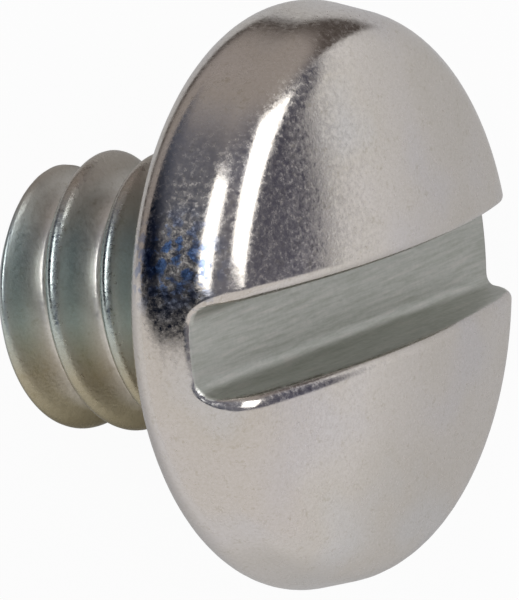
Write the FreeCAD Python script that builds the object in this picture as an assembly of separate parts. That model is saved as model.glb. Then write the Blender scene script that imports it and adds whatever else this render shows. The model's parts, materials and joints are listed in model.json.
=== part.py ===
"""Slotted binding head machine screw, No. 6-32 UNC x 1/8 in, zinc plated steel.

One cold-headed piece: a wide, low head with a slightly tapered side, an oval top, a
driving slot right across it and a ring-shaped undercut beside the shank, and a short
shank with a rolled right-hand thread.

The screw is shaped about its own axis first, with the bearing ring at z = 0, the head
above it and the shank below. It is then laid down as it comes to rest on a table: on
the rim of its head and on one thread crest near its end. The row frame has +Z up, the
table at z = 0 and the origin under the middle of the lying screw. +X is the way the
head points, seen from above.
"""
import FreeCAD, Part
import math
import os

V = FreeCAD.Vector
CENTRE = V(0, 0, 0)
X_AXIS, Y_AXIS, Z_AXIS = V(1, 0, 0), V(0, 1, 0), V(0, 0, 1)

# Head
HEAD_DIAMETER = 7.24
HEAD_HEIGHT = 2.00           # bearing ring to the middle of the oval top
CROWN_RADIUS = 11.2          # the oval top, in side view
SIDE_TAPER = 12.0            # degrees that the side leans in towards the top
TOP_CORNER_RADIUS = 0.70     # where the side turns into the oval top
RIM_RADIUS = 0.50            # where the side turns under to the bearing ring

# Driving slot
SLOT_WIDTH = 1.12
SLOT_DEPTH = 1.02            # from the middle of the oval top
SLOT_TURN = 12.5             # degrees about the axis, from straight down the lying head
LIP_RADIUS = 0.10            # the two long edges of the slot are slightly rounded

# Undercut beside the shank
BEARING_WIDTH = 0.42         # flat ring that bears on the work, inside the rounded rim
UNDERCUT_DEPTH = 0.32
UNDERCUT_SLOPE = 0.22        # how far the outer wall of the undercut leans in
NECK_FILLET = 0.25

# Shank and thread, 32 threads to the inch
THREAD_DIAMETER = 3.48
PITCH = 25.4 / 32
LENGTH = 3.175               # bearing ring to the end of the shank
THREAD_DEPTH = 0.6134 * PITCH
FLANK_ANGLE = 30.0           # degrees, each side of the groove
ROOT_WIDTH = 0.14 * PITCH
GROOVE_CLEARANCE = 0.05      # how far the groove's section reaches past the crests
CREST_HEIGHT = 0.24          # how far the crests stand out from the neck, a rolled blank
NECK_LENGTH = 0.45           # plain part under the bearing ring
SHOULDER = 0.28              # the crests rise from the neck over this length
END_CHAMFER = 0.38           # how far the end of the shank is drawn in
END_LENGTH = 0.28            # the length of this lead-in
GROOVE_STOP = 0.065          # below the shoulder, where the full-depth groove ends
GROOVE_END = 86.0            # degrees about the axis, where the full-depth groove ends
GROOVE_LEAD = 0.9            # further turns of it, in open air below the shank's end
RUNOUT_TURNS = 0.5           # turns above the full depth, in which the groove climbs out
RUNOUT_CONE = 50.0           # degrees that the climbing part opens outward

JOIN_TOLERANCE = 1e-4        # how closely the thread's curved faces are matched

CREST_RADIUS = THREAD_DIAMETER / 2
ROOT_RADIUS = CREST_RADIUS - THREAD_DEPTH
NECK_RADIUS = CREST_RADIUS - CREST_HEIGHT
THREAD_TOP = NECK_LENGTH + SHOULDER + GROOVE_STOP
GROOVE_TURNS = math.ceil((LENGTH - THREAD_TOP) / PITCH) + GROOVE_LEAD


def radial(distance, height):
    """A point of the side view: distance from the axis, and height."""
    return V(distance, 0, height)


def line(start, end):
    return Part.makeLine(start, end)


def polygon(points):
    return Part.makePolygon(points + points[:1])


def turned(wire):
    """The solid that a closed side view gives when it is turned about the axis."""
    return Part.Face(wire).revolve(CENTRE, Z_AXIS, 360)


def arc_about(centre, start, end):
    """The short arc about a centre from one point to the other."""
    middle = (start - centre) + (end - centre)
    radius = (start - centre).Length
    return Part.Arc(start, centre + middle.normalize() * radius, end).toShape()


def head_side():
    """The head's side, from the oval top down to the bearing ring."""
    lean = math.radians(SIDE_TAPER)
    outward = V(math.cos(lean), 0, math.sin(lean))
    upward = V(-math.sin(lean), 0, math.cos(lean))
    crown_centre = radial(0, HEAD_HEIGHT - CROWN_RADIUS)
    rim_centre = radial(HEAD_DIAMETER / 2 - RIM_RADIUS, RIM_RADIUS)
    side_low = rim_centre + outward * RIM_RADIUS

    # The top corner's centre lies on a line parallel to the side, and touches the crown.
    inside = side_low - outward * TOP_CORNER_RADIUS - crown_centre
    reach = CROWN_RADIUS - TOP_CORNER_RADIUS
    along = inside.dot(upward)
    rise = math.sqrt(along ** 2 - inside.dot(inside) + reach ** 2) - along
    corner_centre = crown_centre + inside + upward * rise
    side_high = corner_centre + outward * TOP_CORNER_RADIUS
    to_corner = (corner_centre - crown_centre).normalize()
    crown_edge = crown_centre + to_corner * CROWN_RADIUS

    apex = radial(0, HEAD_HEIGHT)
    rim_low = radial(rim_centre.x, 0)
    return [
        arc_about(crown_centre, apex, crown_edge),
        arc_about(corner_centre, crown_edge, side_high),
        line(side_high, side_low),
        arc_about(rim_centre, side_low, rim_low),
    ], apex, rim_low


def head():
    """The head with its undercut, down to the foot of the neck's fillet."""
    side, apex, rim_low = head_side()
    undercut_low = radial(rim_low.x - BEARING_WIDTH, 0)
    undercut_high = radial(undercut_low.x - UNDERCUT_SLOPE, UNDERCUT_DEPTH)
    fillet_centre = radial(NECK_RADIUS + NECK_FILLET, UNDERCUT_DEPTH - NECK_FILLET)
    fillet_high = radial(fillet_centre.x, UNDERCUT_DEPTH)
    fillet_low = radial(NECK_RADIUS, fillet_centre.z)
    floor_middle = radial(0, fillet_centre.z)
    under = [
        line(rim_low, undercut_low),
        line(undercut_low, undercut_high),
        line(undercut_high, fillet_high),
        arc_about(fillet_centre, fillet_high, fillet_low),
        line(fillet_low, floor_middle),
        line(floor_middle, apex),
    ]
    return turned(Part.Wire(side + under))


def slotted_head():
    """The head with its driving slot, cut right across along X and then turned."""
    floor = HEAD_HEIGHT - SLOT_DEPTH
    wall = SLOT_WIDTH / 2
    bar = Part.makeBox(2 * HEAD_DIAMETER, SLOT_WIDTH, HEAD_HEIGHT,
                       V(-HEAD_DIAMETER, -wall, floor))
    body = head().cut(bar)
    lips = []
    for edge in body.Edges:
        middle = edge.valueAt((edge.FirstParameter + edge.LastParameter) / 2)
        if abs(abs(middle.y) - wall) < 1e-6 and middle.z > floor + 1e-3:
            lips.append(edge)
    body = body.makeFillet(LIP_RADIUS, lips)
    body.rotate(CENTRE, Z_AXIS, SLOT_TURN)
    return body


def blank():
    """The shank without its groove: neck, shoulder and chamfered end."""
    top = UNDERCUT_DEPTH - NECK_FILLET
    return turned(polygon([
        radial(0, top),
        radial(NECK_RADIUS, top),
        radial(NECK_RADIUS, -NECK_LENGTH),
        radial(CREST_RADIUS, -NECK_LENGTH - SHOULDER),
        radial(CREST_RADIUS, END_LENGTH - LENGTH),
        radial(CREST_RADIUS - END_CHAMFER, -LENGTH),
        radial(0, -LENGTH),
    ]))


def half_groove(distance):
    """Half the groove's width at a distance from the axis."""
    rise = distance - ROOT_RADIUS
    return ROOT_WIDTH / 2 + rise * math.tan(math.radians(FLANK_ANGLE))


def groove_section():
    """Section of the thread's groove: 60 degrees wide, with a narrow flat root."""
    top = CREST_RADIUS + GROOVE_CLEARANCE
    return polygon([
        radial(ROOT_RADIUS, -half_groove(ROOT_RADIUS)),
        radial(top, -half_groove(top)),
        radial(top, half_groove(top)),
        radial(ROOT_RADIUS, half_groove(ROOT_RADIUS)),
    ])


def swept_groove(start, turns, cone):
    """The groove's section carried up a right-hand helix.

    Both numbers are in turns, and the start counts from where the full depth ends.
    """
    helix = Part.makeHelix(PITCH, turns * PITCH, CREST_RADIUS, cone)
    sweep = Part.BRepOffsetAPI.MakePipeShell(Part.Wire(helix.Edges))
    sweep.setFrenetMode(True)
    sweep.add(groove_section())
    sweep.build()
    sweep.makeSolid()
    solid = sweep.shape()
    solid.translate(V(0, 0, start * PITCH - THREAD_TOP))
    solid.rotate(CENTRE, Z_AXIS, GROOVE_END + 360 * start)
    return solid


def threaded_rod():
    """A rod longer than the shank, with the thread's groove and its climb cut in."""
    depth = THREAD_TOP + (GROOVE_TURNS + 1) * PITCH
    rod = Part.makeCylinder(CREST_RADIUS, depth + HEAD_HEIGHT, V(0, 0, -depth))
    full_depth = swept_groove(-GROOVE_TURNS, GROOVE_TURNS, 0)
    climb = swept_groove(0, RUNOUT_TURNS, RUNOUT_CONE)
    return rod.cut([full_depth], JOIN_TOLERANCE).cut([climb], JOIN_TOLERANCE)


def shank():
    """The threaded rod trimmed to the shank's outline."""
    return threaded_rod().common([blank()], JOIN_TOLERANCE)


def last_crest_corner():
    """The corner of the last full crest on the side of the screw that lies down, at -X."""
    turns = (180 - GROOVE_END) / 360
    highest = turns * PITCH - THREAD_TOP + half_groove(CREST_RADIUS)
    threaded = highest - (END_LENGTH - LENGTH)
    return radial(CREST_RADIUS, highest - math.floor(threaded / PITCH) * PITCH)


def rest_tilt():
    """How far the axis rises from the table, in degrees.

    The table touches the rim's round edge and the corner of the last full crest.
    """
    rim = radial(HEAD_DIAMETER / 2 - RIM_RADIUS, RIM_RADIUS)
    span = rim - last_crest_corner()
    lean = math.atan2(span.x, span.z)
    return math.degrees(lean + math.asin(RIM_RADIUS / span.Length))


def laid_down(body):
    """The screw as it rests: on the table, with its middle over the origin."""
    half_turn = FreeCAD.Rotation(Z_AXIS, 180)
    lean = FreeCAD.Rotation(Y_AXIS, 90 - rest_tilt())
    body.Placement = FreeCAD.Placement(CENTRE, lean.multiply(half_turn))
    rim = lean.multVec(radial(HEAD_DIAMETER / 2 - RIM_RADIUS, RIM_RADIUS))
    points = [vertex.Point for vertex in body.Vertexes]
    xs = [point.x for point in points]
    body.translate(V(-(min(xs) + max(xs)) / 2, 0, RIM_RADIUS - rim.z))
    return body


def screw():
    body = slotted_head().fuse(shank())
    return laid_down(body.Solids[0])


def main():
    os.makedirs("parts", exist_ok=True)
    screw().exportStep("parts/machine_screw.step")


main()
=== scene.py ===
"""Zinc plated slotted binding head machine screw, lying on a pale table.

The screw is one closed mesh. It is shaped in millimetres about its own axis, with the
bearing ring at z = 0, the head above it and the shank below, and then laid where the
record's mounts say. The head is a net of lines that start on the edge of the driving
slot and run down to a ring on the head's side. Everything below that ring is a tube of
the same columns, and its thread rows follow the helix.
"""
import json
import math

import bmesh
import bpy
import numpy as np
from mathutils import Matrix, Vector


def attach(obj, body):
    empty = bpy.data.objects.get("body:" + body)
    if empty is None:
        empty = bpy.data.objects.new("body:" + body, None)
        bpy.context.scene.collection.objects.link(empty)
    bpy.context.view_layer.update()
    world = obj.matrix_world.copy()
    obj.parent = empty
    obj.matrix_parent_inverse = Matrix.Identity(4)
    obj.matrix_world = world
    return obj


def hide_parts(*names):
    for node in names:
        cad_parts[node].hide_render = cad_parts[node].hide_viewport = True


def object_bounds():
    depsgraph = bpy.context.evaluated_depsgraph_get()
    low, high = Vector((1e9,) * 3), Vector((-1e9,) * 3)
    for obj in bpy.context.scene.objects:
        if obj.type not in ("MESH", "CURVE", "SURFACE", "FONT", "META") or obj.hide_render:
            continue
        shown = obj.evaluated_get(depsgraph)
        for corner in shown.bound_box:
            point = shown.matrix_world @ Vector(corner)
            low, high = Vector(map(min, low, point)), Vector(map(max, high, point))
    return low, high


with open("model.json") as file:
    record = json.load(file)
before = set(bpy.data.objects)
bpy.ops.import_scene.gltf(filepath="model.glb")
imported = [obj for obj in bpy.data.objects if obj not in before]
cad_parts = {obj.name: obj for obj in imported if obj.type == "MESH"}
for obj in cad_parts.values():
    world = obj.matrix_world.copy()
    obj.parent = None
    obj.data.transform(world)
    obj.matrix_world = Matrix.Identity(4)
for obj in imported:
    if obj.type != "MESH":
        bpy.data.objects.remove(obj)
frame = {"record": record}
cad_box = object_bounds()

# The screw's sizes, in mm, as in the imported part
HEAD_DIAMETER = 7.24
HEAD_HEIGHT = 2.00
CROWN_RADIUS = 11.2
SIDE_TAPER = math.radians(12)
TOP_CORNER_RADIUS = 0.70
RIM_RADIUS = 0.50
SLOT_WIDTH = 1.12
SLOT_DEPTH = 1.02
SLOT_TURN = math.radians(12.5)
BEARING_WIDTH = 0.42
UNDERCUT_DEPTH = 0.32
UNDERCUT_SLOPE = 0.22
NECK_FILLET = 0.25
THREAD_DIAMETER = 3.48
PITCH = 25.4 / 32
LENGTH = 3.175
THREAD_DEPTH = 0.6134 * PITCH
ROOT_WIDTH = 0.14 * PITCH
FLANK = math.tan(math.radians(30))
CREST_HEIGHT = 0.24
NECK_LENGTH = 0.45
SHOULDER = 0.28
END_CHAMFER = 0.38
END_LENGTH = 0.28
GROOVE_STOP = 0.065
GROOVE_END = math.radians(86)
RUNOUT_CONE = math.radians(50)

THREAD_TOP = NECK_LENGTH + SHOULDER + GROOVE_STOP
RUNOUT_CLIMB = math.tan(RUNOUT_CONE) * PITCH
CREST = THREAD_DIAMETER / 2
ROOT = CREST - THREAD_DEPTH
NECK = CREST - CREST_HEIGHT
FLOOR = HEAD_HEIGHT - SLOT_DEPTH
WALL = SLOT_WIDTH / 2
FULL_TURN = 2 * math.pi

# Rounded edges and the end's hollow, in mm, which only the scene has
LIP_PLACES = (-2.5, 1.0, 3.3)    # along the slot, for the radii of its long edges
LIP_RADII = (0.11, 0.14, 0.19)
FLOOR_PLACES = (-2.5, 3.3)       # along the slot, for the radii of its floor corners
FLOOR_RADII = (0.14, 0.24)
END_RADIUS = 0.08                # where the slot's floor meets the head's side
LIP_START = 0.10                 # above the floor, where END_RADIUS starts to widen
LIP_GROWTH = 0.30                # the height in which it reaches the lip's radius
BEARING_EDGE = 0.04              # between the bearing ring and the undercut's wall
UNDERCUT_CORNER = 0.06           # between this wall and the undercut's floor
SHOULDER_BLEND = 0.06            # where the shoulder reaches the crests
LEAD_BLEND = 0.10                # where the crests turn into the chamfered end
ROOT_BLEND = 0.13                # between the groove's flanks and its root
CREST_BLEND = 0.12               # between the groove's flanks and the crests
END_TUCK = 0.07                  # how far the shank's last edge draws in
END_DISH = 0.05                  # how far the end face is hollowed

# Points of the head's side view along the oval top, its corner and the side
PROFILE_STEPS = (1500, 500, 200)

# How many cells the mesh has, and how long the first ones beside an edge are, in mm
ALONG_SLOT = 112
UP_WALL = 14
ACROSS_SLOT = 28
DOWN_HEAD = 62
ROUND_RIM = 14
ROUND_CORNER = 6
ROUND_END = 8
WALL_CELL = 0.02                 # along the slot's edge and up its walls
EDGE_CELL = 0.016                # down the head and across the slot's floor
WIDENING = 2.3                   # the power by which later cells grow
EDGE_BEND = 0.9                  # radians up from level, where the edge reaches the top
CLIMB = 0.6                      # about how far the slot's edge climbs the head's side
WELD_STEPS = 1e6                 # per mm, to which border points are matched

# The thread: heights in mm of the rows in half a pitch, from the middle of the groove
HALF_PITCH_ROWS = (0.03, 0.06, 0.09, 0.13, 0.18, 0.23, 0.27, 0.295, 0.315, 0.335, 0.355,
                   0.375)
END_MARGIN = 0.10                # mm of level rows round the shank's end
SHEET_TOP = -0.30                # the thread rows lie between these two heights
SHEET_END = END_MARGIN - LENGTH
WINDINGS = range(-6, 3)          # turns of the groove, from where its full depth ends
RUNOUT_TURNS = 0.62              # by then the climbing groove is clear of the crests
CLEAR = 9                        # mm from the axis, outside everything

# The rings of the shank's end face, as shares of its edge's radius
FACE_RINGS = (0.93, 0.84, 0.72, 0.58, 0.44, 0.30, 0.16, 0.05, 0.0)

# How the head's points are moved onto its rounded surface, in mm
SETTLE_ROUNDS = 7
PROBE = 1e-5
FLATTEST = 0.2                   # the least squared slope that a move is divided by
RELAX_ROUNDS = 14
RELAX_NEAR = 0.40                # from a floor corner, where neighbours are looked for
RELAX_MOVED = 0.30               # from a floor corner, where points are moved

# The camera, from the head's outline and the slot's lines in the photograph
PICTURE_HEIGHT = 600             # pixels
PIXELS_PER_MM = 81.37            # at the middle of the bearing ring
SEAT_RIGHT = 15.2                # pixels, of this middle from the picture's
SEAT_UP = 6.0
CAMERA_DISTANCE = 0.10515        # metres
CAMERA_LEAN = math.radians(0.29)
CAMERA_ROLL = math.radians(1.52)
SENSOR_HEIGHT = 24.0             # mm

# The table and the lamps, in metres
TABLE_RADIUS = 0.038
TABLE_SIDES = 96
TABLE_SPAN = 0.020               # of x, y or distance, for a ramp of the table's shade
CAMERA_WHITE = 0.955             # plain white to the camera, and the rest is lit paint
MIRROR_WHITE = 0.15              # the same in mirror images, but in the table's shade
LAMP_DISTANCE = 0.30

SHANK_SPAN = 2.0                 # mm from the axis, covered by the shank's ramps
# A painted reflection: mottled blue on the head's side, where the dark room is mirrored
BLUE_REFLECTION_PLACE = (3.4, -1.1, 0.75)  # mm along the slot, across it and up
PAINTED_BLUE_REFLECTION = (0.13, 0.23, 0.46)
# A painted highlight, pale, in the thread's roots
PAINTED_ROOT_HIGHLIGHT = (0.76, 0.72, 0.67)
DARK_BAND = (0.13, 0.11, 0.10)
TAUPE = (0.48, 0.44, 0.42)
ROOM_BACK = (0.42, 0.385, 0.375)
ROOM_PALE = (0.80, 0.78, 0.78)


def spaced(count, first, length):
    """Shares from 0 to 1 whose first step is about the given length, then wider."""
    share = np.linspace(0, 1, count + 1)
    even = np.clip(first * count / np.asarray(length, float), 0.0, 1.0)[..., None]
    return even * share + (1 - even) * share ** WIDENING


def spaced_both(count, first, length):
    """The same from both ends."""
    half = spaced(count // 2, first, length / 2)
    return np.concatenate([half / 2, 1 - half[..., -2::-1] / 2], axis=-1)


def ray(angle):
    """Unit vectors at an angle in a plane."""
    return np.stack([np.cos(angle), np.sin(angle)], -1)


def about_axis(r, turn, z):
    """Points at a distance from the axis, an angle about it and a height."""
    return np.stack(np.broadcast_arrays(r * np.cos(turn), r * np.sin(turn), z), -1)


class HeadProfile:
    """The head's side view from the middle of the oval top down to the rim.

    A run is the distance along it from the middle of the top.
    """

    def __init__(self):
        out = ray(SIDE_TAPER)
        up = np.array([-out[1], out[0]])
        self.out = out
        self.crown = np.array([0, HEAD_HEIGHT - CROWN_RADIUS])
        self.rim = np.array([HEAD_DIAMETER / 2 - RIM_RADIUS, RIM_RADIUS])
        self.low = self.rim + out * RIM_RADIUS
        inside = self.low - out * TOP_CORNER_RADIUS - self.crown
        reach = CROWN_RADIUS - TOP_CORNER_RADIUS
        along = inside @ up
        rise = math.sqrt(along ** 2 - inside @ inside + reach ** 2) - along
        self.corner = self.crown + inside + up * rise
        to_corner = self.corner - self.crown
        self.crown_angle = math.atan2(to_corner[1], to_corner[0])
        on_crown, on_corner, on_side = PROFILE_STEPS
        crown = self.arc(self.crown, CROWN_RADIUS, math.pi / 2, self.crown_angle, on_crown)
        corner = self.arc(self.corner, TOP_CORNER_RADIUS, self.crown_angle, SIDE_TAPER,
                          on_corner)
        side = np.linspace(self.corner + out * TOP_CORNER_RADIUS, self.low, on_side)
        self.points = np.concatenate([crown, corner[1:], side[1:]])
        steps = np.hypot(*np.diff(self.points, axis=0).T)
        self.run = np.concatenate([[0], np.cumsum(steps)])

    @staticmethod
    def arc(centre, radius, start, end, count):
        return centre + radius * ray(np.linspace(start, end, count))

    def at_run(self, run):
        """The distance from the axis and the height at a run."""
        return (np.interp(run, self.run, self.points[:, 0]),
                np.interp(run, self.run, self.points[:, 1]))

    def run_at_height(self, z):
        return np.interp(-np.asarray(z), -self.points[:, 1], self.run)

    def run_at_radius(self, r):
        return np.interp(r, self.points[:, 0], self.run)

    def distance(self, r, z):
        """Signed distance from the head's outer face, positive in the open air."""
        place = np.stack([r, z], -1)
        crown = np.hypot(*(place - self.crown).T) - CROWN_RADIUS
        from_corner = place - self.corner
        angle = np.arctan2(from_corner[..., 1], from_corner[..., 0])
        corner = np.hypot(*from_corner.T) - TOP_CORNER_RADIUS
        side = (place - self.low) @ self.out
        inner = np.where(angle > self.crown_angle, crown, corner)
        return np.where(angle < SIDE_TAPER, side, inner)


PROFILE = HeadProfile()


def round_both(first, second, radius):
    """The inside of both shapes, with the edge between them rounded.

    Each shape is given as the signed distance from it.
    """
    past_first = np.maximum(first + radius, 0)
    past_second = np.maximum(second + radius, 0)
    deep = np.minimum(np.maximum(first, second), -radius)
    return deep + np.hypot(past_first, past_second)


def unslotted(points):
    """Signed distance from the head's face as if it had no slot."""
    x, y, z = points.T
    return PROFILE.distance(np.hypot(x, y), z)


def head_surface(points):
    """Signed distance from the slotted head's face, with x along the slot."""
    x, y, z = points.T
    foot = np.interp(x, FLOOR_PLACES, FLOOR_RADII)
    slot = round_both(np.abs(y) - WALL, FLOOR - z, foot)
    lip = np.interp(x, LIP_PLACES, LIP_RADII)
    up = np.clip((z - FLOOR - LIP_START) / LIP_GROWTH, 0, 1)
    return round_both(unslotted(points), -slot, END_RADIUS + (lip - END_RADIUS) * up)


def surface_slope(points):
    """How the signed distance changes along each axis."""
    changes = [head_surface(points + PROBE * axis) - head_surface(points - PROBE * axis)
               for axis in np.eye(3)]
    return np.stack(changes, -1) / (2 * PROBE)


def settle(points):
    """Moves points along the surface's slope until they lie on it."""
    for _ in range(SETTLE_ROUNDS):
        slope = surface_slope(points)
        size = np.maximum((slope ** 2).sum(-1), FLATTEST)
        points = points - (head_surface(points) / size)[:, None] * slope
    return points


def relax(points, faces):
    """Evens out the points about the slot's four floor corners, kept on the surface."""
    floor_radius = PROFILE.at_run(PROFILE.run_at_height(FLOOR))[0]
    corner = np.array([math.sqrt(floor_radius ** 2 - WALL ** 2), WALL, FLOOR])
    gap = np.abs(points) - corner
    gap[:, 2] = points[:, 2] - FLOOR
    away = np.sqrt((gap ** 2).sum(-1))
    near = away < RELAX_NEAR
    move = away < RELAX_MOVED
    pairs = np.array([pair for face in faces if near[face[0]]
                      for pair in zip(face, face[1:] + face[:1])])
    count = np.maximum(np.bincount(pairs[:, 0], minlength=len(points)), 1)[move, None]
    for _ in range(RELAX_ROUNDS):
        total = np.zeros_like(points)
        np.add.at(total, pairs[:, 0], points[pairs[:, 1]])
        points[move] = settle((points[move] + total[move] / count) / 2)


def slot_edge():
    """Points along the slot's edge at y = WALL, from the +x floor corner to the -x one.

    Each has its run down the side view. The edge climbs the head's side, crosses the
    oval top and comes down again.
    """
    floor_run = float(PROFILE.run_at_height(FLOOR))
    bend_radius = (PROFILE.corner + TOP_CORNER_RADIUS * ray(EDGE_BEND))[0]
    bend_run = float(PROFILE.run_at_radius(bend_radius))
    climb = floor_run + (bend_run - floor_run) * spaced_both(UP_WALL, WALL_CELL, CLIMB)
    half_chord = math.sqrt(bend_radius ** 2 - WALL ** 2)
    x = half_chord * (1 - 2 * spaced_both(ALONG_SLOT, WALL_CELL, 2 * half_chord))
    across = PROFILE.run_at_radius(np.hypot(x, WALL))
    climb_x = np.sqrt(PROFILE.at_run(climb)[0] ** 2 - WALL ** 2)
    run = np.concatenate([climb[:-1], across, climb[-2::-1]])
    xs = np.concatenate([climb_x[:-1], x, -climb_x[-2::-1]])
    return run, xs


def drop_lines(run, angle, end_angle):
    """Lines from slot-side points down to the ring where the tube begins."""
    start = run[:, None] * ray(angle)
    end = PROFILE.run[-1] * ray(end_angle)
    share = spaced(DOWN_HEAD, EDGE_CELL, np.hypot(*(end - start).T))
    plane = start[:, None] + (end - start)[:, None] * share[..., None]
    r, z = PROFILE.at_run(np.hypot(plane[..., 0], plane[..., 1]))
    turn = np.arctan2(plane[..., 1], plane[..., 0])
    return about_axis(r, turn, z)


def wall_grid(run, xs):
    """The slot's wall at y = WALL, stretched between its four edges, and its foot."""
    height = PROFILE.at_run(run)[1]
    edge = np.stack([xs, np.full_like(xs, WALL), height], -1)
    first = edge[:UP_WALL + 1]
    top = edge[UP_WALL:UP_WALL + ALONG_SLOT + 1]
    last = edge[:-UP_WALL - 2:-1]
    share = (top[:, 0] - top[0, 0]) / (top[-1, 0] - top[0, 0])
    foot = np.stack([first[0, 0] * (1 - 2 * share), np.full_like(share, WALL),
                     np.full_like(share, FLOOR)], -1)
    along = share[:, None, None]
    up = spaced_both(UP_WALL, WALL_CELL, CLIMB)[None, :, None]
    ruled = (1 - up) * foot[:, None] + up * top[:, None]
    sides = (1 - along) * first[None] + along * last[None]
    corners = ((1 - along) * (1 - up) * foot[0] + along * (1 - up) * foot[-1]
               + (1 - along) * up * top[0] + along * up * top[-1])
    return ruled + sides - corners, foot


def slot_floor(foot, reach, y):
    """The slot's floor between its two walls, with ends as round as the head."""
    shape = (len(foot), len(y))
    x = foot[:, :1] * (reach / reach[0])
    return np.stack([x, np.broadcast_to(y, shape), np.full(shape, FLOOR)], -1)


def head_patches():
    """The slotted head's grids, and the ring on its side where they end.

    Half is the head on one side of the slot, and end is the strip of its side below one
    end of the slot's floor. Both come again on the opposite side.
    """
    run, xs = slot_edge()
    angle = np.arctan2(WALL, xs)
    ends = np.linspace(angle[0], angle[-1], len(angle))
    half = drop_lines(run, angle, ends)
    wall, foot = wall_grid(run, xs)

    y = WALL * (1 - 2 * spaced_both(ACROSS_SLOT, EDGE_CELL, SLOT_WIDTH))
    reach = np.sqrt(PROFILE.at_run(run[0])[0] ** 2 - y ** 2)
    end_angle = np.arctan2(y, -reach) % FULL_TURN
    end = drop_lines(np.full(len(y), run[0]), end_angle, end_angle)

    opposite = np.array([-1, -1, 1])
    wall = wall[:, ::-1]
    patches = [half, half * opposite, end, end * opposite, wall, wall * opposite,
               slot_floor(foot, reach, y)]
    ring = np.concatenate([half[:-1, -1], end[:-1, -1]])
    ring = np.concatenate([ring, ring * opposite])
    return patches, ring


def rounded_path(points, radii):
    """A side view through the points, with each inner corner rounded."""
    points = [np.array(point, float) for point in points]
    path = [points[0]]
    for before, corner, after, radius in zip(points, points[1:], points[2:], radii):
        back = (before - corner) / np.hypot(*(before - corner))
        ahead = (after - corner) / np.hypot(*(after - corner))
        middle = (back + ahead) / np.hypot(*(back + ahead))
        half = math.acos(float(np.clip(back @ ahead, -1, 1))) / 2
        reach = radius / math.tan(half)
        centre = corner + middle * radius / math.sin(half)
        start = corner + back * reach - centre
        end = corner + ahead * reach - centre
        for share in np.linspace(0, 1, ROUND_CORNER + 1):
            outward = start * (1 - share) + end * share
            path.append(centre + outward / np.hypot(*outward) * radius)
    return np.array(path + [points[-1]])


def tube_rows(angles):
    """Rings from the head's side round the rim, through the undercut and to the neck."""
    rim = PROFILE.arc(PROFILE.rim, RIM_RADIUS, SIDE_TAPER, -math.pi / 2, ROUND_RIM + 1)
    inner = PROFILE.rim[0] - BEARING_WIDTH
    under = rounded_path([
        rim[-1], (inner, 0), (inner - UNDERCUT_SLOPE, UNDERCUT_DEPTH),
        (NECK, UNDERCUT_DEPTH), (NECK, SHEET_TOP),
    ], [BEARING_EDGE, UNDERCUT_CORNER, NECK_FILLET])
    path = np.concatenate([rim, under[1:]])
    return about_axis(path[:, :1], angles, path[:, 1:])


def soft_min(first, second, width):
    """The lower of two values, with the corner between them rounded over a width."""
    overlap = np.maximum(width - np.abs(first - second), 0) / width
    return np.minimum(first, second) - overlap * overlap * width / 4


def shank_radius(z, turn):
    """How far the threaded shank stands out from the axis at a height and angle."""
    rise = (-NECK_LENGTH - z) / SHOULDER * CREST_HEIGHT
    shoulder = soft_min(NECK + np.maximum(rise, 0), CREST, SHOULDER_BLEND)
    lead = CREST - END_CHAMFER + (z + LENGTH) * END_CHAMFER / END_LENGTH
    radius = soft_min(shoulder, lead, LEAD_BLEND)
    first = (turn - GROOVE_END) / FULL_TURN
    for winding in WINDINGS:
        turns = first + winding
        centre = turns * PITCH - THREAD_TOP
        root = ROOT + np.maximum(turns, 0) * RUNOUT_CLIMB
        flank = root + (np.abs(z - centre) - ROOT_WIDTH / 2) / FLANK
        groove = -soft_min(-flank, -root, ROOT_BLEND)
        groove = np.where(turns > RUNOUT_TURNS, CLEAR, groove)
        radius = soft_min(radius, groove, CREST_BLEND)
    return radius


def thread_rows():
    """Heights of the rows within one pitch, counted from the middle of the groove."""
    second_half = [PITCH - height for height in reversed(HALF_PITCH_ROWS)]
    return np.array([0.0, *HALF_PITCH_ROWS, PITCH / 2, *second_half])


def thread_sheet(angles):
    """Rows that climb with the thread, cut off level at both ends.

    A row that has gone once round goes on as the row one pitch higher, so each row's
    last cell joins the first column that many rows up.
    """
    offsets = thread_rows()
    start = angles[0]
    groove = (start - GROOVE_END) / FULL_TURN * PITCH - THREAD_TOP
    lowest = math.floor((SHEET_END - PITCH - groove) / PITCH)
    highest = math.ceil((SHEET_TOP - groove) / PITCH) + 1
    heights = np.concatenate([groove + n * PITCH + offsets for n in range(lowest, highest)])
    z = heights[:, None] + (angles - start) / FULL_TURN * PITCH
    z = np.clip(z, SHEET_END, SHEET_TOP)
    beyond = np.minimum(np.arange(len(heights)) + len(offsets), len(heights) - 1)
    z = np.concatenate([z, z[beyond, :1]], axis=1)
    turn = np.append(angles, angles[0])
    return about_axis(shank_radius(z, turn), turn, z)


def end_rows(angles):
    """Level rings round the shank's end, and the slightly dished end face."""
    drop = LENGTH + SHEET_END
    rows = []
    for share in np.linspace(0, 1, ROUND_END + 1):
        bend = share * math.pi / 2
        z = np.full_like(angles, SHEET_END - drop * math.sin(bend))
        tuck = END_TUCK * (1 - math.cos(bend))
        rows.append(about_axis(shank_radius(z, angles) - tuck, angles, z))
    edge = rows[-1]
    for share in FACE_RINGS:
        dish = END_DISH * (1 - (share / FACE_RINGS[0]) ** 4)
        rows.append(edge * [share, share, 1] + [0, 0, dish])
    return np.array(rows)


def closed(rows):
    """The rows with their first column once more at the end."""
    return np.concatenate([rows, rows[:, :1]], axis=1)


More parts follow.
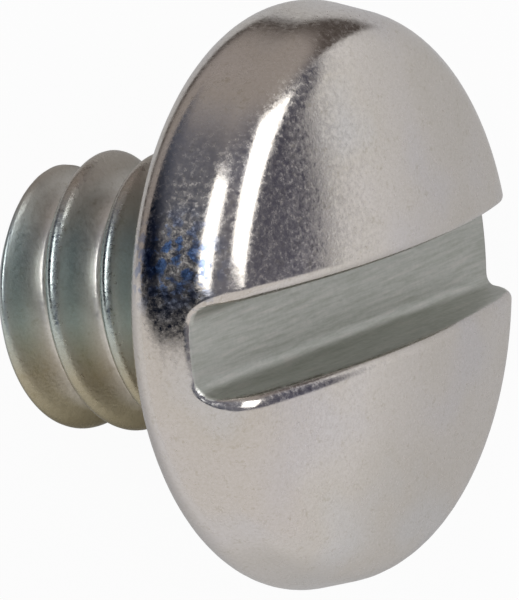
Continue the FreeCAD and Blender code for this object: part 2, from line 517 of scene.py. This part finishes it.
def weld(patches):
    """One list of points and faces from grids that share their border points."""
    points = np.concatenate([grid.reshape(-1, 3) for grid in patches])
    keys = np.round(points * WELD_STEPS).astype(np.int64)
    _, first, index = np.unique(keys, axis=0, return_index=True, return_inverse=True)
    index = index.reshape(-1)
    faces = []
    offset = 0
    for grid in patches:
        rows, cols = grid.shape[:2]
        ids = index[offset:offset + rows * cols].reshape(rows, cols)
        offset += rows * cols
        quads = np.stack([ids[:-1, :-1], ids[1:, :-1], ids[1:, 1:], ids[:-1, 1:]], -1)
        for quad in quads.reshape(-1, 4).tolist():
            face = [point for k, point in enumerate(quad) if point != quad[k - 1]]
            if len(set(face)) == len(face) and len(face) > 2:
                faces.append(face)
    return points[first], faces


def turn_about_axis(points, angle):
    """The points turned about the axis, counterclockwise from above the head."""
    cos = math.cos(angle)
    sin = math.sin(angle)
    return points @ np.array([[cos, sin, 0], [-sin, cos, 0], [0, 0, 1]])


def in_slot(points):
    """1 for the points on the slot's walls and floor, and 0 elsewhere."""
    side_margin = 0.01
    depth = 0.03
    between = np.abs(points[:, 1]) < WALL + side_margin
    return (between & (unslotted(points) < -depth)).astype(float)


def screw_mesh():
    """The whole screw about its own axis, and how much each point belongs to the slot."""
    patches, ring = head_patches()
    ring = turn_about_axis(ring, SLOT_TURN)
    angles = np.unwrap(np.arctan2(ring[:, 1], ring[:, 0]))
    upper = [turn_about_axis(grid, SLOT_TURN) for grid in patches]
    tube = tube_rows(angles)
    tube[0] = ring
    sheet = thread_sheet(angles)[::-1]
    points, faces = weld(upper + [closed(tube), sheet, closed(end_rows(angles))])

    flat = turn_about_axis(points, -SLOT_TURN)
    above_ring = 0.02
    high = flat[:, 2] > PROFILE.low[1] + above_ring
    flat[high] = settle(flat[high])
    relax(flat, faces)
    return turn_about_axis(flat, SLOT_TURN), faces, in_slot(flat) * high


def seat():
    """The middle of the bearing ring and the way from there to the top of the head.

    Both are in the row frame, by the record's mount at the shank's end.
    """
    mounts = {mount["name"]: mount for mount in frame["record"]["mounts"]}
    end = mounts["shank_end"]
    head_way = -np.array(Vector(end["axis"]).normalized())
    return np.array(end["pos_m"]) + head_way * LENGTH / 1000, head_way


def lie_down(points):
    """From the screw's own frame in mm to the row frame in m."""
    origin, head_way = seat()
    across = np.array([0, -1, 0])
    up = np.cross(across, head_way)
    return points @ np.array([up, across, head_way]) / 1000 + origin


def add_object(name, data):
    """A new object in the scene."""
    new = bpy.data.objects.new(name, data)
    bpy.context.scene.collection.objects.link(new)
    return new


def build_screw():
    """The screw where it lies, with what its material needs stored at each point."""
    points, faces, slot = screw_mesh()
    mesh = bpy.data.meshes.new("screw")
    mesh.from_pydata(lie_down(points).tolist(), [], faces)
    shape = bmesh.new()
    shape.from_mesh(mesh)
    bmesh.ops.recalc_face_normals(shape, faces=shape.faces)
    shape.to_mesh(mesh)
    shape.free()
    mesh.shade_smooth()
    own_place = turn_about_axis(points, -SLOT_TURN).astype(np.float32)
    place = mesh.attributes.new("own_place", "FLOAT_VECTOR", "POINT")
    place.data.foreach_set("vector", own_place.ravel())
    mask = mesh.attributes.new("in_slot", "FLOAT", "POINT")
    mask.data.foreach_set("value", slot.astype(np.float32))
    return add_object("screw", mesh)


def grey(value):
    return (value, value, value)


class Nodes:
    """Short calls for one material's or world's nodes."""

    def __init__(self, owner):
        owner.use_nodes = True
        self.tree = owner.node_tree
        self.tree.nodes.clear()

    def add(self, kind, inputs=(), **settings):
        """A new node with its settings, and with links or plain values as inputs."""
        node = self.tree.nodes.new(kind)
        for name, value in settings.items():
            setattr(node, name, value)
        for key, value in dict(inputs).items():
            if isinstance(value, bpy.types.NodeSocket):
                self.tree.links.new(value, node.inputs[key])
            else:
                node.inputs[key].default_value = value
        return node

    def calculate(self, operation, first, second):
        node = self.add("ShaderNodeMath", {0: first, 1: second}, operation=operation)
        return node.outputs[0]

    def times(self, first, second):
        return self.calculate("MULTIPLY", first, second)

    def total(self, *terms):
        result = terms[0]
        for term in terms[1:]:
            result = self.calculate("ADD", result, term)
        return result

    def measure(self, operation, first, second=(0, 0, 0)):
        """A vector's length, or the distance or dot product of two."""
        inputs = {0: first, 1: second}
        node = self.add("ShaderNodeVectorMath", inputs, operation=operation)
        return node.outputs["Value"]

    def noise(self, place, scale, detail, rough=0.5):
        return self.add("ShaderNodeTexNoise", {
            "Vector": place, "Scale": scale, "Detail": detail, "Roughness": rough,
        }).outputs["Fac"]

    def ramp(self, value, *stops):
        """A colour by the value, from stops that are each a place and a colour."""
        node = self.add("ShaderNodeValToRGB", {"Fac": value})
        elements = node.color_ramp.elements
        while len(elements) < len(stops):
            elements.new(0.5)
        for element, (place, colour) in zip(elements, stops):
            element.position = place
            element.color = (*colour, 1)
        return node.outputs["Color"]

    def mask(self, value, none, full):
        """0 at one value and 1 at another, which may be the lower one, and even between."""
        return self.ramp(value, *sorted([(none, grey(0)), (full, grey(1))]))

    def mix(self, share, first, second, blend="MIX"):
        """Two colours mixed, or blended in another way, by a share from 0 to 1.

        The node's sockets 0, 6 and 7 take the share and the colours.
        """
        inputs = {0: share}
        for socket, colour in ((6, first), (7, second)):
            is_link = isinstance(colour, bpy.types.NodeSocket)
            inputs[socket] = colour if is_link else (*colour, 1)
        node = self.add("ShaderNodeMix", inputs, data_type="RGBA", blend_type=blend)
        return node.outputs[2]


def head_tint_and_blue_reflection(nodes, place):
    """Warm grey in large soft patches, with a mottled blue painted reflection on the head's
    side.
    """
    patches = nodes.noise(place, scale=0.55, detail=2)
    tint = nodes.ramp(patches, (0.30, (0.64, 0.61, 0.60)), (0.45, (0.65, 0.61, 0.57)),
                      (0.58, (0.63, 0.59, 0.54)), (0.72, (0.63, 0.61, 0.59)))
    # Painted reflection: blue mixed in about this place, mottled by the cells
    from_blue_reflection = nodes.measure("DISTANCE", place, BLUE_REFLECTION_PLACE)
    blue_reflection = nodes.mask(from_blue_reflection, none=0.75, full=0.25)
    cells = nodes.mask(nodes.noise(place, scale=7.5, detail=3), none=0.47, full=0.56)
    return nodes.mix(nodes.times(blue_reflection, cells), tint, PAINTED_BLUE_REFLECTION)


def shank_tint_and_painted_light(nodes, side, reach):
    """Blue-green along the middle of the shank and olive on its sides, with painted shade
    darkening one side and painted highlights in the pale roots.
    """
    across = nodes.total(nodes.times(side, 0.5 / SHANK_SPAN), 0.5)
    # The last and darkest olive is painted shade, where this side mirrors the table near the
    # screw
    tint = nodes.ramp(across, (0.12, (0.44, 0.40, 0.35)), (0.27, (0.50, 0.57, 0.56)),
                      (0.52, (0.55, 0.62, 0.59)), (0.70, (0.45, 0.41, 0.30)),
                      (0.92, (0.25, 0.21, 0.12)))
    # Painted highlight: a pale band in each root
    root = nodes.mask(reach, none=0.76, full=0.65)
    return nodes.mix(nodes.times(root, 0.75), tint, PAINTED_ROOT_HIGHLIGHT)


def specked(nodes, place, colour):
    """The colour with small dark specks and finer dust."""
    coarse = nodes.noise(place, scale=7.0, detail=4, rough=0.7)
    fine = nodes.noise(place, scale=28.0, detail=4, rough=0.7)
    specks = nodes.ramp(coarse, (0.30, (0.78, 0.76, 0.68)), (0.42, grey(1)))
    dust = nodes.ramp(fine, (0.30, (0.84, 0.83, 0.79)), (0.62, grey(1)))
    colour = nodes.mix(0.5, colour, specks, "MULTIPLY")
    return nodes.mix(0.7, colour, dust, "MULTIPLY")


def slot_streaks(nodes, place):
    """Uneven streaks along the slot."""
    stretch = {"Vector": place, "Scale": (1.6, 20, 10)}
    lengthwise = nodes.add("ShaderNodeMapping", stretch).outputs[0]
    return nodes.noise(lengthwise, scale=1.0, detail=5, rough=0.7)


def slot_painted_shade(nodes, streaks):
    """Darker greys in the slot, painted shade in its recess, uneven along the slot's streaks.
    """
    return nodes.ramp(streaks, (0.30, (0.40, 0.41, 0.36)), (0.52, (0.49, 0.50, 0.46)),
                      (0.72, (0.58, 0.56, 0.52)))


def dullness(nodes, place, on_shank, slot, crest):
    """Uneven roughness, more on the shank and in the slot, and less on the crests."""
    patches = nodes.noise(place, scale=15.0, detail=5, rough=0.7)
    uneven = nodes.mask(patches, none=0.32, full=0.68)
    return nodes.total(nodes.times(uneven, 0.24), 0.08, nodes.times(on_shank, 0.20),
                       nodes.times(slot, 0.25), nodes.times(crest, -0.12))


def relief(nodes, place, on_shank, slot, streaks):
    """Shallow mottle, a fine grain that is stronger on the shank, and the slot's streaks."""
    mottle = nodes.noise(place, scale=5.5, detail=3)
    grain = nodes.noise(place, scale=24.0, detail=2)
    strength = nodes.total(nodes.times(on_shank, 0.9), 0.16)
    in_streaks = nodes.times(nodes.times(streaks, slot), 0.8)
    height = nodes.total(nodes.times(mottle, 0.5), nodes.times(grain, strength), in_streaks)
    bump = {"Strength": 0.3, "Distance": 0.00001, "Height": height}
    return nodes.add("ShaderNodeBump", bump).outputs[0]


def zinc():
    """Bright zinc plate, tinted and dulled in its own way on each part of the screw, with
    painted shade in the slot and on the shank, painted highlights in the roots and a painted
    blue reflection on the head.
    """
    material = bpy.data.materials.new("bright_zinc_plate_and_painted_light")
    nodes = Nodes(material)
    place = nodes.add("ShaderNodeAttribute", attribute_name="own_place").outputs["Vector"]
    slot = nodes.add("ShaderNodeAttribute", attribute_name="in_slot").outputs["Fac"]
    parts = nodes.add("ShaderNodeSeparateXYZ", {"Vector": place}).outputs
    on_shank = nodes.mask(nodes.times(parts["Z"], -1.0), none=0.0, full=0.3)
    level = nodes.add("ShaderNodeVectorMath", {0: place, 1: (1, 1, 0)}, operation="MULTIPLY")
    from_axis = nodes.measure("LENGTH", level.outputs[0])
    reach = nodes.times(from_axis, 1 / SHANK_SPAN)
    crest = nodes.times(nodes.mask(reach, none=0.81, full=0.86), on_shank)
    streaks = slot_streaks(nodes, place)
    # The shank's colour, with painted shade on one side and painted highlights in the roots
    shank = shank_tint_and_painted_light(nodes, parts["Y"], reach)
    plate = specked(nodes, place, nodes.mix(on_shank, head_tint_and_blue_reflection(nodes, place), shank))
    shader = nodes.add("ShaderNodeBsdfPrincipled", {
        # In the slot, painted shade takes the place of the plate's colour
        "Base Color": nodes.mix(slot, plate, slot_painted_shade(nodes, streaks)),
        "Metallic": 1.0,
        "Roughness": dullness(nodes, place, on_shank, slot, crest),
        "Normal": relief(nodes, place, on_shank, slot, streaks),
    })
    nodes.add("ShaderNodeOutputMaterial", {"Surface": shader.outputs[0]})
    return material


def table_shade(nodes, place, away):
    """White near the screw, with a dark band towards the dark room and taupe beyond."""
    per_metre = 1 / TABLE_SPAN
    across = nodes.measure("DOT_PRODUCT", place, (-per_metre, per_metre, 0))
    up = nodes.measure("DOT_PRODUCT", place, (0, per_metre, 0))
    wedge = nodes.ramp(across, (0.38, DARK_BAND), (0.65, TAUPE))
    ring = nodes.ramp(away, (0.46, DARK_BAND), (0.60, TAUPE))
    band = nodes.mix(1.0, wedge, ring, "DARKEN")
    beyond = nodes.mask(across, none=0.09, full=0.13)
    beyond = nodes.times(beyond, nodes.mask(away, none=0.375, full=0.415))
    beyond = nodes.times(beyond, nodes.mask(up, none=0.0, full=0.12))
    return nodes.mix(beyond, grey(1), band)


def table_paint():
    """A pale paint that is white in the background and keeps the screw's shadow.

    Mirror images show the table's shade, with the dark band that the head's upper edge
    and left rim mirror. The paint is darker near the screw, a painted shadow.
    """
    material = bpy.data.materials.new("pale_table_and_painted_shadow")
    nodes = Nodes(material)
    place = nodes.add("ShaderNodeTexCoord").outputs["Object"]
    away = nodes.times(nodes.measure("LENGTH", place), 1 / TABLE_SPAN)
    shade = table_shade(nodes, place, away)
    # Painted shadow: the paint darkens towards the screw
    near = nodes.ramp(away, (0.25, grey(0.60)), (0.80, grey(0.95)))
    colour_with_painted_shadow = nodes.mix(1.0, shade, near, "MULTIPLY")
    paint = nodes.add("ShaderNodeBsdfDiffuse", {"Color": colour_with_painted_shadow}).outputs[0]
    path = nodes.add("ShaderNodeLightPath").outputs
    seen = nodes.mix(path["Is Camera Ray"], shade, grey(1))
    glow = nodes.add("ShaderNodeEmission", {"Color": seen, "Strength": 1.0}).outputs[0]
    mirrored = nodes.total(path["Is Glossy Ray"], path["Is Transmission Ray"])
    share = nodes.total(nodes.times(path["Is Camera Ray"], CAMERA_WHITE),
                        nodes.times(mirrored, MIRROR_WHITE))
    both = nodes.add("ShaderNodeMixShader", {0: share, 1: paint, 2: glow})
    nodes.add("ShaderNodeOutputMaterial", {"Surface": both.outputs[0]})
    return material


def table_top():
    """A round table top under the screw."""
    turns = [FULL_TURN * k / TABLE_SIDES for k in range(TABLE_SIDES)]
    ring = [(TABLE_RADIUS * math.cos(turn), TABLE_RADIUS * math.sin(turn), cad_box[0][2])
            for turn in turns]
    mesh = bpy.data.meshes.new("table_top")
    mesh.from_pydata(ring, [], [tuple(range(TABLE_SIDES))])
    mesh.materials.append(table_paint())
    add_object("table_top", mesh)


def toward(azimuth, elevation):
    """The unit vector towards an azimuth and elevation in degrees."""
    turn = math.radians(azimuth)
    rise = math.radians(elevation)
    level = Vector((math.cos(turn), math.sin(turn), 0))
    return level * math.cos(rise) + Vector((0, 0, math.sin(rise)))


def strip(name, start, end, width, power):
    """A strip light between two directions, facing the screw."""
    first = toward(*start) * LAMP_DISTANCE
    last = toward(*end) * LAMP_DISTANCE
    light = bpy.data.lights.new(name, "AREA")
    light.shape = "RECTANGLE"
    light.size = width
    light.size_y = (last - first).length
    light.energy = power
    middle = (first + last) / 2
    back = middle.normalized()
    along = (last - first).normalized()
    along = (along - back * along.dot(back)).normalized()
    turn = Matrix((along.cross(back), along, back)).transposed()
    add_object(name, light).matrix_world = Matrix.Translation(middle) @ turn.to_4x4()


def room(nodes):
    """The room's colour by direction, pale on one side of the screw and dark on the other."""
    way = nodes.add("ShaderNodeTexCoord").outputs["Generated"]

    def facing(*direction):
        return nodes.measure("DOT_PRODUCT", way, direction)

    around = nodes.total(nodes.times(facing(0.8, 0.6, 0), 0.5), 0.5)
    dark = nodes.ramp(around, (0.25, (0.004, 0.007, 0.018)), (0.42, (0.10, 0.11, 0.15)),
                      (0.62, (0.21, 0.21, 0.25)), (0.85, (0.155, 0.155, 0.20)),
                      (0.96, (0.088, 0.088, 0.125)))
    low = nodes.ramp(facing(0, 0, 1), (0.25, grey(1)), (0.60, grey(0.2)))
    back = nodes.mask(facing(0.12, 0.99, 0), none=0.76, full=0.90)
    dark = nodes.mix(nodes.times(low, back), dark, ROOM_BACK)
    nearer = nodes.total(facing(0, 1, 0.35), 0.5)
    pale_side = nodes.mask(nearer, none=0.46, full=0.40)
    return nodes.mix(pale_side, dark, ROOM_PALE)


def studio():
    """The room about the table, which the head's curved side mirrors, and two lights."""
    world = bpy.data.worlds.new("studio")
    bpy.context.scene.world = world
    nodes = Nodes(world)
    sky = nodes.add("ShaderNodeBackground", {"Color": room(nodes), "Strength": 1.0})
    nodes.add("ShaderNodeOutputWorld", {"Surface": sky.outputs[0]})
    strip("strip_left", (104, 47), (174, 68), width=0.125, power=0.27)
    strip("strip_right", (51, 18), (8, 47), width=0.155, power=0.37)


def camera():
    """Nearly straight down on the table, with a long lens, as in the photograph."""
    data = bpy.data.cameras.new("camera")
    data.sensor_fit = "VERTICAL"
    data.sensor_height = SENSOR_HEIGHT
    data.lens = PIXELS_PER_MM * CAMERA_DISTANCE * 1000 / PICTURE_HEIGHT * SENSOR_HEIGHT
    data.clip_start = 0.001
    data.clip_end = 10
    back = Vector((-math.sin(CAMERA_LEAN), 0, math.cos(CAMERA_LEAN)))
    right = Vector((0, 1, 0)).cross(back)
    across = right * math.cos(CAMERA_ROLL) + Vector((0, 1, 0)) * math.sin(CAMERA_ROLL)
    up = back.cross(across)
    place = Vector(seat()[0]) + back * CAMERA_DISTANCE
    place -= (across * SEAT_RIGHT + up * SEAT_UP) / PIXELS_PER_MM / 1000
    turn = Matrix((across, up, back)).transposed()
    view = add_object("camera", data)
    view.matrix_world = Matrix.Translation(place) @ turn.to_4x4()
    bpy.context.scene.camera = view


def main():
    camera()
    screw = build_screw()
    screw.data.materials.append(zinc())
    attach(screw, "root")
    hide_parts("machine_screw")
    table_top()
    studio()
    bpy.context.scene.view_settings.view_transform = "Standard"


main()
